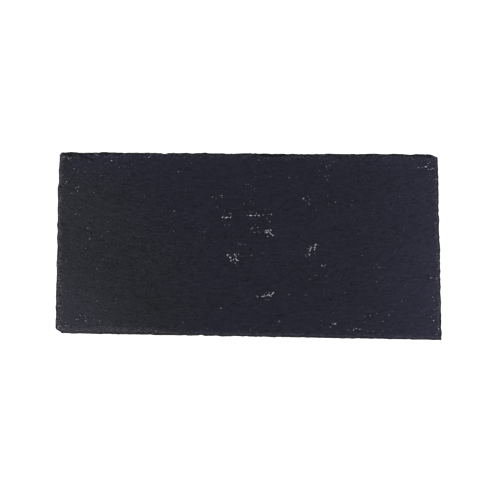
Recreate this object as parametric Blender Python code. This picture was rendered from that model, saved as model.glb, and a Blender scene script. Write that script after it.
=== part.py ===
"""A natural slate slab, split from the block and dressed to a rectangle by hand.

One stone and one solid. Metres, +Z up, +X along the length and square to both ends, with the
origin under the middle of the slab. The long edges run slightly out of true, the rim is
chipped to a slope all round, the top is riven, and the underside is a flat bed.
"""

import math

import bmesh
import bpy
from mathutils import Vector, noise

# The dressed rectangle. The ends are square to X; each long edge has its own two heights.
LENGTH = 0.4004
BACK_LEFT_Y = 0.0988
BACK_RIGHT_Y = 0.0965
FRONT_LEFT_Y = -0.0918
FRONT_RIGHT_Y = -0.0990
THICKNESS = 0.0052

# The chipped rim: it slopes from the riven top down to a blunt belly, then tucks under.
RIM_WIDTH = 0.0032
RIM_SWAY = 0.0007
RIM_SWAY_LENGTH = 0.011
BELLY_HEIGHT = 0.0018
TUCK = 0.0008

# The riven top: long low swells with ripples on them, cut into thin cleavage steps. All of it is
# drawn out along the slab.
SWELL_HEIGHT = 0.00030
SWELL_SIZE = (0.110, 0.048)
RIPPLE_SIZE = (0.030, 0.012)
RIPPLE_SHARE = 0.25
STEP_HEIGHT = 0.00014
STEP_TREAD = 0.72

# Nicks and swellings along each edge: place, half width, and depth (negative stands proud).
# A place on a long edge is its X; a place on an end is its Y.
BACK_NICKS = (
    (-0.1860, 0.0110, -0.0005),
    (-0.1505, 0.0090, -0.0007),
    (-0.1150, 0.0160, -0.0002),
    (-0.0890, 0.0050, 0.0009),
    (-0.0690, 0.0060, -0.0003),
    (-0.0460, 0.0050, -0.0004),
    (-0.0200, 0.0130, 0.0003),
    (-0.0035, 0.0080, -0.0004),
    (0.0270, 0.0140, 0.0003),
    (0.0410, 0.0060, 0.0006),
    (0.0530, 0.0150, 0.0003),
    (0.1300, 0.0220, -0.0003),
    (0.1570, 0.0150, -0.0006),
    (0.1720, 0.0050, 0.0004),
    (0.1780, 0.0060, -0.0006),
)
FRONT_NICKS = (
    (-0.1810, 0.0080, -0.0003),
    (-0.1110, 0.0120, 0.0002),
    (-0.0640, 0.0060, 0.0003),
    (-0.0490, 0.0045, 0.0009),
    (-0.0250, 0.0080, -0.0003),
    (-0.0025, 0.0060, 0.0003),
    (0.1320, 0.0050, 0.0003),
    (0.1800, 0.0080, 0.0002),
)
LEFT_NICKS = (
    (0.0900, 0.0120, 0.0008),
    (0.0560, 0.0140, -0.0008),
    (0.0400, 0.0120, -0.0002),
    (0.0215, 0.0040, -0.0008),
    (0.0080, 0.0090, -0.0003),
    (-0.0020, 0.0060, 0.0005),
    (-0.0190, 0.0060, -0.0005),
    (-0.0290, 0.0060, 0.0004),
    (-0.0410, 0.0050, -0.0003),
    (-0.0750, 0.0120, 0.0002),
    (-0.0900, 0.0060, 0.0004),
)
RIGHT_NICKS = (
    (0.0640, 0.0240, -0.0004),
    (0.0160, 0.0090, 0.0003),
    (-0.0050, 0.0120, -0.0005),
    (-0.0130, 0.0050, -0.0006),
    (-0.0490, 0.0050, 0.0003),
    (-0.0570, 0.0050, -0.0003),
    (-0.0860, 0.0040, 0.0005),
)
NICK_FADE = 0.014

# What each corner has lost: the cut's legs along X and along Y.
CORNER_CUTS = {
    (-1, -1): (0.0060, 0.0052),
    (1, -1): (0.0012, 0.0012),
    (1, 1): (0.0082, 0.0034),
    (-1, 1): (0.0030, 0.0030),
}
CORNER_SPREAD = 3.0

# The working mesh, before the flat stretches are thinned out.
CELLS_X = 128
CELLS_Y = 62
KEPT_SHARE = 0.25

SLATE_COLOUR = (0.022, 0.022, 0.040, 1.0)
SLATE_ROUGHNESS = 0.70


def clear_scene():
    for item in list(bpy.data.objects):
        bpy.data.objects.remove(item, do_unlink=True)


def new_collection(name):
    group = bpy.data.collections.new(name)
    bpy.context.scene.collection.children.link(group)
    return group


def slate_material():
    slate = bpy.data.materials.new("slate")
    slate.use_nodes = True
    shader = slate.node_tree.nodes["Principled BSDF"]
    shader.inputs["Base Color"].default_value = SLATE_COLOUR
    shader.inputs["Roughness"].default_value = SLATE_ROUGHNESS
    shader.inputs["Metallic"].default_value = 0.0
    slate.diffuse_color = SLATE_COLOUR
    return slate


def split_block():
    """A unit cube cut into a grid across its top and bottom."""
    block = bmesh.new()
    bmesh.ops.create_cube(block, size=1.0)
    for axis, cells in ((0, CELLS_X), (1, CELLS_Y)):
        runs = [e for e in block.edges if abs((e.verts[0].co - e.verts[1].co)[axis]) > 0.5]
        bmesh.ops.subdivide_edges(block, edges=runs, cuts=cells - 1, use_grid_fill=True)
    return block


def spaced(share, span, cells):
    """Distance along a side for a grid share, with the outermost cell as wide as the rim."""
    index = round(share * cells)
    if index == 0:
        return 0.0
    if index == cells:
        return span
    return RIM_WIDTH + (index - 1) / (cells - 2) * (span - 2 * RIM_WIDTH)


def nick_depth(place, nicks):
    """How far an edge is set in at one place along it."""
    depth = 0.0
    for centre, reach, most in nicks:
        away = abs(place - centre) / reach
        if away < 1.0:
            depth += most * 0.5 * (1.0 + math.cos(math.pi * away))
    return depth


def fade(distance):
    """1 at an edge, falling to 0 by the time its nicks no longer pull on the grid."""
    return max(0.0, 1.0 - distance / NICK_FADE) ** 2


def corner_push(from_end, from_side, cut_x, cut_y):
    """How far a lost corner pushes a point in, as shares of the cut's two legs."""
    a = from_end / cut_x
    b = from_side / cut_y
    kept = 1.0 - min(a, b) / CORNER_SPREAD
    return max(0.0, kept - abs(a - b)) / 2.0


def blend(start, end, share):
    return start + (end - start) * share


def plan_point(share_x, share_y):
    """A grid point's place on the dressed plan, how far in from the nearest side it lies, and
    which way is inward there."""
    left = spaced(share_x, LENGTH, CELLS_X)
    right = LENGTH - left
    front_y = blend(FRONT_LEFT_Y, FRONT_RIGHT_Y, left / LENGTH)
    back_y = blend(BACK_LEFT_Y, BACK_RIGHT_Y, left / LENGTH)
    front = spaced(share_y, back_y - front_y, CELLS_Y)
    back = back_y - front_y - front
    x = left - LENGTH / 2
    y = front_y + front

    moved_x = nick_depth(y, LEFT_NICKS) * fade(left) - nick_depth(y, RIGHT_NICKS) * fade(right)
    moved_y = nick_depth(x, FRONT_NICKS) * fade(front) - nick_depth(x, BACK_NICKS) * fade(back)
    for (side_x, side_y), (cut_x, cut_y) in CORNER_CUTS.items():
        from_end = left if side_x < 0 else right
        from_side = front if side_y < 0 else back
        push = corner_push(from_end, from_side, cut_x, cut_y)
        moved_x -= side_x * push * cut_x
        moved_y -= side_y * push * cut_y

    sides = ((left, (1, 0)), (right, (-1, 0)), (front, (0, 1)), (back, (0, -1)))
    reach, inward = min(sides)
    return Vector((x + moved_x, y + moved_y)), reach, Vector(inward)


def riven_height(spot):
    """Height of the split top: a slow swell cut into thin, flat-treaded steps."""
    swell = noise.noise(Vector((spot.x / SWELL_SIZE[0], spot.y / SWELL_SIZE[1], 0.0)))
    ripple = noise.noise(Vector((spot.x / RIPPLE_SIZE[0], spot.y / RIPPLE_SIZE[1], 4.0)))
    level = (swell + ripple * RIPPLE_SHARE) * SWELL_HEIGHT / STEP_HEIGHT
    tread = math.floor(level)
    rise = max(0.0, level - tread - STEP_TREAD) / (1.0 - STEP_TREAD)
    return THICKNESS + (tread + rise) * STEP_HEIGHT


def dress(block):
    """Moves the grid of the cube to the shape of the stone. The grid's outermost line on the top
    becomes the belly and the next one in becomes the arris above the chipped slope."""
    for vert in block.verts:
        is_top = vert.co.z > 0.0
        spot, reach, inward = plan_point(vert.co.x + 0.5, vert.co.y + 0.5)
        is_outline = reach < RIM_WIDTH * 0.5
        is_arris = is_top and RIM_WIDTH * 0.5 < reach < RIM_WIDTH * 1.5
        if is_outline and not is_top:
            spot += inward * TUCK
        if is_arris:
            spot += inward * noise.noise(spot.to_3d() / RIM_SWAY_LENGTH) * RIM_SWAY
        height = 0.0
        if is_top:
            height = BELLY_HEIGHT if is_outline else riven_height(spot)
        vert.co = spot.to_3d() + Vector((0.0, 0.0, height))


def slate_slab(group):
    block = split_block()
    dress(block)
    bmesh.ops.recalc_face_normals(block, faces=block.faces)
    mesh = bpy.data.meshes.new("slate_slab")
    block.to_mesh(mesh)
    block.free()
    slab = bpy.data.objects.new("slate_slab", mesh)
    group.objects.link(slab)
    slab.data.materials.append(slate_material())
    thinned = slab.modifiers.new("thin out the flat stretches", "DECIMATE")
    thinned.ratio = KEPT_SHARE
    return slab


clear_scene()
slate_slab(new_collection("slate_slab"))
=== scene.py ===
import math

import bmesh
import bpy
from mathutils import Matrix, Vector, noise


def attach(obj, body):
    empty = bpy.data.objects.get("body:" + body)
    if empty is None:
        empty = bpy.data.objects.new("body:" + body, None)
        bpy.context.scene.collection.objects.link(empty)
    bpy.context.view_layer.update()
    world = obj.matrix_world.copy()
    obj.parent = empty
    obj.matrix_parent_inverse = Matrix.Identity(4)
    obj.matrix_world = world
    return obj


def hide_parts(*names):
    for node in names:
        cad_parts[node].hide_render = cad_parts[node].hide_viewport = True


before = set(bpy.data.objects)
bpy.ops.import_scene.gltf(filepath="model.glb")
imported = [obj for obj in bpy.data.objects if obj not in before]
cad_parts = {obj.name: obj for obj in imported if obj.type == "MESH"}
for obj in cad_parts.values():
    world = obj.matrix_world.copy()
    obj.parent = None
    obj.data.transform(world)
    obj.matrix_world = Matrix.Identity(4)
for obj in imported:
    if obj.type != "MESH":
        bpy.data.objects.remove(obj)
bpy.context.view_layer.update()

# ------------------------------------------------------------
# The dressed plan. The slab is one piece of slate, scored and snapped to a rectangle by hand and
# then chipped along its four edges, so the ends are square, the long edges run a little out of
# true, the edges are nicked, and each corner has lost something. Everything is in metres.
LENGTH = 0.4004
BACK_LEFT_Y = 0.0988
BACK_RIGHT_Y = 0.0965
FRONT_LEFT_Y = -0.0918
FRONT_RIGHT_Y = -0.0990
MIDDLE_DEPTH = 0.193
THICKNESS = 0.0052

# Place along the edge, half width, depth. A negative depth stands proud of the edge.
BACK_NICKS = (
    (-0.1860, 0.0110, -0.0005),
    (-0.1505, 0.0090, -0.0007),
    (-0.1420, 0.0050, -0.0004),
    (-0.1340, 0.0035, -0.0004),
    (-0.1150, 0.0160, -0.0002),
    (-0.0890, 0.0050, 0.0009),
    (-0.0690, 0.0060, -0.0003),
    (-0.0600, 0.0040, 0.0004),
    (-0.0460, 0.0050, -0.0004),
    (-0.0200, 0.0130, 0.0003),
    (-0.0035, 0.0080, -0.0004),
    (0.0020, 0.0030, -0.0005),
    (0.0270, 0.0140, 0.0003),
    (0.0410, 0.0060, 0.0006),
    (0.0530, 0.0150, 0.0003),
    (0.0600, 0.0040, 0.0005),
    (0.0720, 0.0040, -0.0003),
    (0.0790, 0.0040, 0.0004),
    (0.0850, 0.0050, -0.0002),
    (0.1040, 0.0040, -0.0004),
    (0.1300, 0.0220, -0.0003),
    (0.1570, 0.0150, -0.0006),
    (0.1720, 0.0050, 0.0004),
    (0.1780, 0.0060, -0.0006),
    (0.1840, 0.0040, -0.0005),
)
FRONT_NICKS = (
    (-0.1810, 0.0080, -0.0003),
    (-0.1540, 0.0100, -0.0001),
    (-0.1190, 0.0035, 0.0005),
    (-0.1110, 0.0120, 0.0002),
    (-0.1020, 0.0040, 0.0004),
    (-0.0960, 0.0040, -0.0002),
    (-0.0640, 0.0060, 0.0003),
    (-0.0490, 0.0045, 0.0009),
    (-0.0350, 0.0030, 0.0003),
    (-0.0250, 0.0080, -0.0003),
    (-0.0025, 0.0060, 0.0003),
    (0.0080, 0.0040, -0.0003),
    (0.0160, 0.0040, 0.0003),
    (0.0240, 0.0080, -0.0001),
    (0.0550, 0.0120, 0.0001),
    (0.1320, 0.0050, 0.0003),
    (0.1800, 0.0080, 0.0002),
)
LEFT_NICKS = (
    (0.0900, 0.0120, 0.0008),
    (0.0560, 0.0140, -0.0008),
    (0.0400, 0.0120, -0.0002),
    (0.0215, 0.0040, -0.0008),
    (0.0080, 0.0090, -0.0003),
    (-0.0020, 0.0060, 0.0005),
    (-0.0190, 0.0060, -0.0005),
    (-0.0290, 0.0060, 0.0004),
    (-0.0410, 0.0050, -0.0003),
    (-0.0750, 0.0120, 0.0002),
    (-0.0900, 0.0060, 0.0004),
)
RIGHT_NICKS = (
    (0.0640, 0.0240, -0.0004),
    (0.0605, 0.0040, 0.0004),
    (0.0425, 0.0040, 0.0004),
    (0.0340, 0.0040, 0.0004),
    (0.0160, 0.0090, 0.0003),
    (0.0080, 0.0035, -0.0004),
    (-0.0050, 0.0120, -0.0005),
    (-0.0130, 0.0050, -0.0006),
    (-0.0290, 0.0060, -0.0002),
    (-0.0490, 0.0050, 0.0003),
    (-0.0570, 0.0050, -0.0003),
    (-0.0860, 0.0040, 0.0005),
    (-0.0950, 0.0030, 0.0005),
)
NICK_FADE = 0.014

# What each corner has lost: the cut's legs along X and along Y.
CORNER_CUTS = {
    (-1, -1): (0.0060, 0.0052),
    (1, -1): (0.0012, 0.0012),
    (1, 1): (0.0082, 0.0034),
    (-1, 1): (0.0030, 0.0030),
}
CORNER_SPREAD = 3.0


def nick_depth(place, nicks):
    """How far an edge is set in at one place along it."""
    depth = 0.0
    for centre, reach, most in nicks:
        away = abs(place - centre) / reach
        if away < 1.0:
            depth += most * 0.5 * (1.0 + math.cos(math.pi * away))
    return depth


def fade(distance):
    """1 at an edge, falling to 0 where its nicks no longer pull on the face."""
    return max(0.0, 1.0 - distance / NICK_FADE) ** 2


def corner_push(from_end, from_side, cut_x, cut_y):
    """How far a lost corner pushes a point in, as a share of the cut's two legs."""
    end_share = from_end / cut_x
    side_share = from_side / cut_y
    kept = 1.0 - min(end_share, side_share) / CORNER_SPREAD
    return max(0.0, kept - abs(end_share - side_share)) / 2.0


def blend(start, end, share):
    return start + (end - start) * share


def edge_distances(share_x, share_y):
    """Distances from the left, right, front and back edges of the true rectangle."""
    along = share_x * LENGTH
    front = blend(FRONT_LEFT_Y, FRONT_RIGHT_Y, share_x)
    back = blend(BACK_LEFT_Y, BACK_RIGHT_Y, share_x)
    across = share_y * (back - front)
    return along, LENGTH - along, across, back - front - across


def plan_point(share_x, share_y):
    """Where a point of the true rectangle lies once the edges are nicked and the corners lost."""
    left, right, front, back = edge_distances(share_x, share_y)
    x = left - LENGTH / 2
    y = blend(FRONT_LEFT_Y, FRONT_RIGHT_Y, share_x) + front
    moved_x = nick_depth(y, LEFT_NICKS) * fade(left) - nick_depth(y, RIGHT_NICKS) * fade(right)
    moved_y = nick_depth(x, FRONT_NICKS) * fade(front) - nick_depth(x, BACK_NICKS) * fade(back)
    for (side_x, side_y), (cut_x, cut_y) in CORNER_CUTS.items():
        from_end = left if side_x < 0 else right
        from_side = front if side_y < 0 else back
        push = corner_push(from_end, from_side, cut_x, cut_y)
        moved_x -= side_x * push * cut_x
        moved_y -= side_y * push * cut_y
    return x + moved_x, y + moved_y


# ------------------------------------------------------------
# The chipped rim. The dresser's blade knocks overlapping flakes off the upper edge. Each leaves a
# hollow scar, and the scars meet in ridges, break in thin terraces along the beds of the stone,
# and end in a blunt belly that tucks under. The widest flakes are listed by their place.
BELLY_HEIGHT = 0.0018
TUCK = 0.0009
RIM_WIDTHS = {"left": 0.0028, "right": 0.0030, "front": 0.0028, "back": 0.0034}
SIDE_SEEDS = {"left": 4, "right": 5, "front": 5, "back": 4}

# The flakes: how far apart they start, where in that stretch their middles lie, how far they
# reach as shares of it, and how far they cut. A flake that cuts past WIDE_CUT widens the rim, and
# one that cuts past BITING_CUT also bites into the outline.
FLAKE_LENGTH = 0.0090
FLAKE_MIDDLES = (0.2, 0.8)
FLAKE_REACHES = (0.45, 1.0)
FLAKE_CUTS = (0.35, 1.0)
FLAKE_DEPTH = 0.0019
WIDE_CUT = 0.45
FLAKE_BITE = 0.00050
BITING_CUT = 0.5

# The foot of a scar, and how hollow the scar is. Below FLAT_SCAR it bulges instead.
RIM_FOOT = 0.0023
FOOT_RISE = 1.12
FOOT_DROP = 0.45
FLAKE_HOLLOW = 0.9
FLAT_SCAR = 0.3

# The terraces. A wave is its size along X and along Y, its seed and its height, and how terraced
# a slope is changes from place to place.
TERRACE = 0.00080
TERRACE_TREAD = 0.55
TERRACE_WANDER = ((0.009, 0.009, 2.0, TERRACE),)
TERRACED = 0.5
TERRACED_CHANGES = ((0.012, 0.012, 6.0, 0.9),)
MOST_TERRACED = 0.9

# How far the thin beds break back from the outline: the sizes and shares of coarse and of fine
# breaks, and how much each differs from one bed to the next.
RAGGED = 0.00050
BED_THICKNESS = 0.0003
COARSE_BREAK, COARSE_SHARE, COARSE_CHANGE = 0.0042, 0.6, 0.55
FINE_BREAK, FINE_SHARE, FINE_CHANGE, FINE_SEED = 0.0013, 0.4, 1.7, 9.0

# Side, place along it, half width and how much wider the rim is there.
WIDE_FLAKES = (
    ("back", -0.1880, 0.0060, 0.0010),
    ("back", -0.1730, 0.0110, 0.0024),
    ("back", -0.1510, 0.0090, 0.0012),
    ("back", 0.0260, 0.0170, 0.0018),
    ("back", 0.0620, 0.0120, 0.0012),
    ("back", 0.1900, 0.0090, 0.0010),
    ("front", -0.1300, 0.0520, 0.0026),
    ("front", -0.0480, 0.0070, 0.0010),
    ("left", -0.0560, 0.0420, 0.0012),
    ("right", -0.0780, 0.0160, 0.0010),
)


def clamped(value, most=1.0):
    return max(0.0, min(most, value))


def waves(x, y, layers):
    """The height of smooth waves at one place, in layers."""
    height = 0.0
    for size_x, size_y, seed, most in layers:
        height += most * noise.noise(Vector((x / size_x, y / size_y, seed)))
    return height


def random_share(*numbers):
    """A repeatable random number from 0 to 1 for three whole numbers."""
    return 0.5 + 0.5 * noise.cell(Vector(numbers) + Vector((0.5, 0.5, 0.5)))


def flakes(side, place):
    """The flakes that reach one place on a side: how far each has cut there (0 to 1), and two
    random numbers of its own."""
    seed = SIDE_SEEDS[side]
    stretch = math.floor(place / FLAKE_LENGTH)
    found = []
    for index in (stretch - 1, stretch, stretch + 1):
        middle = (index + blend(*FLAKE_MIDDLES, random_share(index, seed, 1))) * FLAKE_LENGTH
        reach = blend(*FLAKE_REACHES, random_share(index, seed, 2)) * FLAKE_LENGTH
        deepest = blend(*FLAKE_CUTS, random_share(index, seed, 3))
        away = (place - middle) / reach
        cut = max(0.0, deepest * (1.0 - away * away))
        found.append((cut, random_share(index, seed, 4), random_share(index, seed, 5)))
    return found


def flake_width(side, place, cut):
    """How far in from the outline a flake that has cut this far reaches."""
    width = RIM_WIDTHS[side] + FLAKE_DEPTH * (cut - WIDE_CUT)
    for flake_side, centre, reach, more in WIDE_FLAKES:
        away = abs(place - centre) / reach
        if side == flake_side and away < 1.0:
            width += more * (1.0 - away * away)
    return width


def scar_height(side, place, reach, top):
    """The height of the flake scars at a distance in from the outline, up to the upper face."""
    lowest = top
    for cut, low_foot, hollow in flakes(side, place):
        foot = RIM_FOOT * (FOOT_RISE - FOOT_DROP * cut * low_foot)
        share = min(1.0, reach / flake_width(side, place, cut))
        curve = 1.0 + FLAKE_HOLLOW * cut * (hollow - FLAT_SCAR)
        lowest = min(lowest, blend(foot, top, share ** curve))
    return lowest


def terraced(height, x, y):
    """A height pulled towards the nearest bed of the stone, so that a slope becomes terraces."""
    wander = waves(x, y, TERRACE_WANDER)
    level = (height + wander) / TERRACE
    tread = math.floor(level)
    rise = max(0.0, level - tread - TERRACE_TREAD) / (1.0 - TERRACE_TREAD)
    steps = clamped(TERRACED + waves(x, y, TERRACED_CHANGES), MOST_TERRACED)
    return height + steps * ((tread + rise) * TERRACE - wander - height)


def ragged(x, y, height):
    """How far a thin bed of the stone has broken back from the outline at one place."""
    bed = round(height / BED_THICKNESS)
    breaks = (
        (COARSE_BREAK, COARSE_BREAK, bed * COARSE_CHANGE, COARSE_SHARE),
        (FINE_BREAK, FINE_BREAK, bed * FINE_CHANGE + FINE_SEED, FINE_SHARE),
    )
    return RAGGED * waves(x, y, breaks)


# ------------------------------------------------------------
# The split faces. Slate cleaves along its bed, so the top is almost flat: long low swells cut by
# steps less than a tenth of a millimetre high, all drawn out along the grain, which sags towards
# the middle of the slab. The underside is the same, pressed flatter, and rests on half its face.
GRAIN_SAG = 0.55
SWELL_HEIGHT = 0.00030
SWELLS = ((0.150, 0.050, 0.0, 1.0), (0.055, 0.013, 4.0, 0.22), (0.012, 0.0045, 7.0, 0.06))
STEP_HEIGHT = 0.00009
STEP_TREAD = 0.80
RIPPLES = ((0.016, 0.0035, 11.0, 0.00003),)
BED_RELIEF = 0.00025
BED_SWELLS = ((0.050, 0.022, 21.0, 1.0), (0.013, 0.006, 23.0, 0.4))
BED_REST = 0.05


def riven_height(x, y):
    """Height of the split top: low swells cut into flat-treaded steps, with ripples on them."""
    across = y - GRAIN_SAG * x * x
    level = waves(x, across, SWELLS) * SWELL_HEIGHT / STEP_HEIGHT
    tread = math.floor(level)
    rise = max(0.0, level - tread - STEP_TREAD) / (1.0 - STEP_TREAD)
    return THICKNESS + (tread + rise) * STEP_HEIGHT + waves(x, across, RIPPLES)


def bed_height(x, y):
    """How far the underside is clear of the table: nothing wherever a swell is low."""
    return max(0.0, waves(x, y, BED_SWELLS) - BED_REST) * BED_RELIEF


# ------------------------------------------------------------
# Bruised stone. The blows that dress an edge leave its stone crushed and paler, most of all at
# the left end and the front left corner, and least at the back. The bruise is patchy at the feet
# of the scars and fades out on the face.
BRUISE = {"left": 0.60, "right": 0.28, "front": 0.20, "back": 0.0}
BRUISE_FADE = 0.0022
SHORTEST_FADE = 0.4
BRUISE_FOOT = 0.0023
FOOT_CURVE = 2.2
FOOT_PATCH = 0.0060
FOOT_PATCHINESS = 0.6
FOOT_SEED = 31.0
MOST_WORN_FOOT = 0.9
ARRIS_WEAR_AND_HIGHLIGHT = 0.08
ARRIS_WIDTH = 0.0007
CHIPPED_FADE = 0.0040

# Handling pales a wider band of the face, and the scars below it are darkened with painted shade, most of
# all near the outline.
HANDLED = {"left": 0.06, "right": 0.10, "front": 0.12, "back": 0.25}
HANDLED_BAND = 0.008
SCAR_WIDTHS = {"left": 0.0023, "right": 0.0030, "front": 0.0028, "back": 0.0046}
FOOT_SHADE = {"left": 0.80, "right": 0.88, "front": 0.44, "back": 0.66}
FOOT_SHADE_SHARE = 0.45

# Side, place along it, half width and how much more or less bruised the stone is there.
WORN_STRETCHES = (
    ("left", -0.0560, 0.0480, 0.36),
    ("front", -0.1500, 0.0800, 0.34),
    ("front", 0.1100, 0.0350, -0.13),
    ("right", -0.0600, 0.0500, 0.04),
)


def bruise(side, place, reach, width):
    """How bruised the stone is at a distance in from one side, whose rim is this wide."""
    most = BRUISE[side]
    for worn_side, centre, half, more in WORN_STRETCHES:
        away = abs(place - centre) / half
        if side == worn_side and away < 1.0:
            most += more * (1.0 - away * away)
    past_arris = max(0.0, reach - width) / (BRUISE_FADE * (SHORTEST_FADE + most))
    patch = noise.noise(Vector((place / FOOT_PATCH, SIDE_SEEDS[side], FOOT_SEED)))
    worn_foot = clamped(FOOT_PATCHINESS * patch, MOST_WORN_FOOT)
    foot = worn_foot + (1.0 - worn_foot) * min(1.0, reach / BRUISE_FOOT) ** FOOT_CURVE
    # A narrow paler line along the arris, partly wear and partly painted highlight.
    arris = ARRIS_WEAR_AND_HIGHLIGHT * math.exp(-(((reach - width) / ARRIS_WIDTH) ** 2))
    return most * foot * math.exp(-past_arris * past_arris) + arris


def handling(reaches):
    """How much paler the stone is for handling, at these distances in from the sides."""
    paler = 0.0
    for side, reach in reaches.items():
        past_scars = max(0.0, reach - SCAR_WIDTHS[side])
        paler = max(paler, HANDLED[side] * math.exp(-past_scars / HANDLED_BAND))
    return paler


def foot_shading(reaches):
    """How much painted shade darkens the scars near the outline, as a share of the stone's tone."""
    darker = 0.0
    for side, reach in reaches.items():
        kept = clamped((reach / SCAR_WIDTHS[side] - FOOT_SHADE_SHARE) / (1.0 - FOOT_SHADE_SHARE))
        darker = max(darker, FOOT_SHADE[side] * (1.0 - kept))
    return darker


# ------------------------------------------------------------
# The stone itself: one closed mesh. It starts as a cube cut into a grid, finer on the top and
# the sides and finest at the rim. The grid line RIM_CELLS in from each side is laid along the
# arris, and then every point goes where the plan, the rim and the split faces put it.
CELLS_X = 125
CELLS_Y = 60
SIDE_LAYERS = 2
FINER_BANDS = (LENGTH, 0.0062, 0.0037)
RIM_CELLS = 8
ARRIS_SETTLE = 0.016
SIDE_FOOT = 0.15
SHARP_BREAK = math.radians(28.0)
NO_DISTANCE = 1e-6
WORN_AND_SHADED_VALUES = ("bruise", "chipped", "handled", "foot_shade")


def is_bed(point):
    """Whether a point of the gridded block is on its underside."""
    return point.z < 0.001


def cut_finer(block, reach):
    """Halves every edge above the bed that lies within a distance of the sides."""
    def wanted(point):
        return not is_bed(point) and min(edge_distances(point.x, point.y)) < reach

    edges = [edge for edge in block.edges if all(wanted(vert.co) for vert in edge.verts)]
    bmesh.ops.subdivide_edges(block, edges=edges, cuts=1, use_grid_fill=True)


def spans(edge, axis):
    """Whether an edge runs the whole way across the block along an axis."""
    return abs((edge.verts[0].co - edge.verts[1].co)[axis]) > 0.9


def gridded_block():
    """A cube with corners at (0, 0, 0) and (1, 1, 1), cut into a grid that is finest at the rim."""
    block = bmesh.new()
    bmesh.ops.create_cube(block, size=1.0)
    bmesh.ops.translate(block, verts=block.verts, vec=(0.5, 0.5, 0.5))
    for axis, cells in ((0, CELLS_X), (1, CELLS_Y), (2, SIDE_LAYERS)):
        runs = [edge for edge in block.edges if spans(edge, axis)]
        bmesh.ops.subdivide_edges(block, edges=runs, cuts=cells - 1, use_grid_fill=True)
    for band in FINER_BANDS:
        cut_finer(block, band)
    return block


INWARD = {
    "left": Vector((1.0, 0.0)),
    "right": Vector((-1.0, 0.0)),
    "front": Vector((0.0, 1.0)),
    "back": Vector((0.0, -1.0)),
}
FINENESS = 2 ** len(FINER_BANDS)
RIM_LINES = {
    "left": RIM_CELLS * LENGTH / CELLS_X / FINENESS,
    "front": RIM_CELLS * MIDDLE_DEPTH / CELLS_Y / FINENESS,
}
RIM_LINES.update(right=RIM_LINES["left"], back=RIM_LINES["front"])


def laid_in(reach, line, width):
    """Moves a distance from one side so that the grid line that should be the arris lies on it."""
    if reach < line:
        return reach / line * width
    return width + (reach - line) / (ARRIS_SETTLE - line) * (ARRIS_SETTLE - width)


def rim_near(side, reach, x, y):
    """The rim of one side near a point: the place along it, how far its flakes have cut there,
    how wide it is, and how far in from the side the point is laid."""
    place = y if side in ("left", "right") else x
    cut = max(flake[0] for flake in flakes(side, place))
    width = flake_width(side, place, cut)
    return place, cut, width, laid_in(reach, RIM_LINES[side], width)


def chipped_height(point, spot, rims):
    """The height of a point that isn't on the bed, once its rims are chipped to scars. Points on
    the sides are spread down from the foot of the scars, and the rest break in terraces."""
    height = riven_height(*spot)
    for side, (place, cut, width, laid) in rims.items():
        height = min(height, scar_height(side, place, laid, height))
    if min(edge_distances(point.x, point.y)) < NO_DISTANCE:
        return height * (SIDE_FOOT + (1.0 - SIDE_FOOT) * (2.0 * point.z - 1.0))
    if height < riven_height(*spot):
        return terraced(height, *spot)
    return height


def stone_point(point):
    """Where a point of the gridded block lies on the finished stone, and how worn it is there and how
    much painted shade it takes, as a number for each of WORN_AND_SHADED_VALUES."""
    x, y = plan_point(point.x, point.y)
    spot = Vector((x, y))
    reaches = dict(zip(INWARD, edge_distances(point.x, point.y)))
    rims = {}
    for side, reach in reaches.items():
        if reach < ARRIS_SETTLE:
            rims[side] = rim_near(side, reach, x, y)
            reaches[side] = rims[side][-1]
            spot += INWARD[side] * (reaches[side] - reach)
    height = bed_height(*spot) if is_bed(point) else chipped_height(point, spot, rims)
    bruised = 0.0
    chipped = 0.0
    for side, (place, cut, width, laid) in rims.items():
        bruised = max(bruised, bruise(side, place, laid, width))
        chipped = max(chipped, math.exp(-max(0.0, laid - width) / CHIPPED_FADE))
        inset = FLAKE_BITE * (cut - BITING_CUT) + ragged(x, y, height)
        if laid < NO_DISTANCE:
            inset += TUCK * max(0.0, 1.0 - height / BELLY_HEIGHT) ** 2
        if laid < NO_DISTANCE or not is_bed(point):
            spot += INWARD[side] * inset * max(0.0, 1.0 - laid / width)
    worn = (bruised, chipped, handling(reaches), foot_shading(reaches))
    return spot.to_3d() + Vector((0.0, 0.0, height)), dict(zip(WORN_AND_SHADED_VALUES, worn))


def stone_mesh():
    """The finished stone, with how worn it is and its painted shade kept on each point for the finish to
    use.
    """
    block = gridded_block()
    for name in WORN_AND_SHADED_VALUES:
        block.verts.layers.float.new(name)
    layers = {name: block.verts.layers.float[name] for name in WORN_AND_SHADED_VALUES}
    for vert in block.verts:
        vert.co, worn = stone_point(vert.co)
        for name, layer in layers.items():
            vert[layer] = worn[name]
    bmesh.ops.recalc_face_normals(block, faces=block.faces)
    mesh = bpy.data.meshes.new("slate_slab")
    block.to_mesh(mesh)
    block.free()
    mesh.shade_smooth()
    mesh.set_sharp_from_angle(angle=SHARP_BREAK)
    return mesh


slab = bpy.data.objects.new("slate_stone", stone_mesh())
bpy.context.scene.collection.objects.link(slab)

# ------------------------------------------------------------
# The finish. Riven slate is a matt blue-black stone, greyer towards the left end. Its grain shows
# as short streaks along the bed, the ends are a little paler, partly from handling and partly as a
# painted highlight, and the dressed rim is bruised, with painted shade at its foot. Nothing is
# applied to it: no oil, wax or paint. Sizes here are in millimetres.
GREY_STONE = (0.0235, 0.0245, 0.0320, 1.0)
INDIGO_STONE = (0.0222, 0.0222, 0.0404, 1.0)
BRUISED_GREY_STONE = (0.0724, 0.0672, 0.0858, 1.0)
BRUISED_INDIGO_STONE = (0.0740, 0.0702, 0.0925, 1.0)
MILLIMETRES = 1000.0

slate = bpy.data.materials.new("slate")
slate.use_nodes = True
slate_nodes = slate.node_tree.nodes
slate_shader = slate_nodes["Principled BSDF"]


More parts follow.
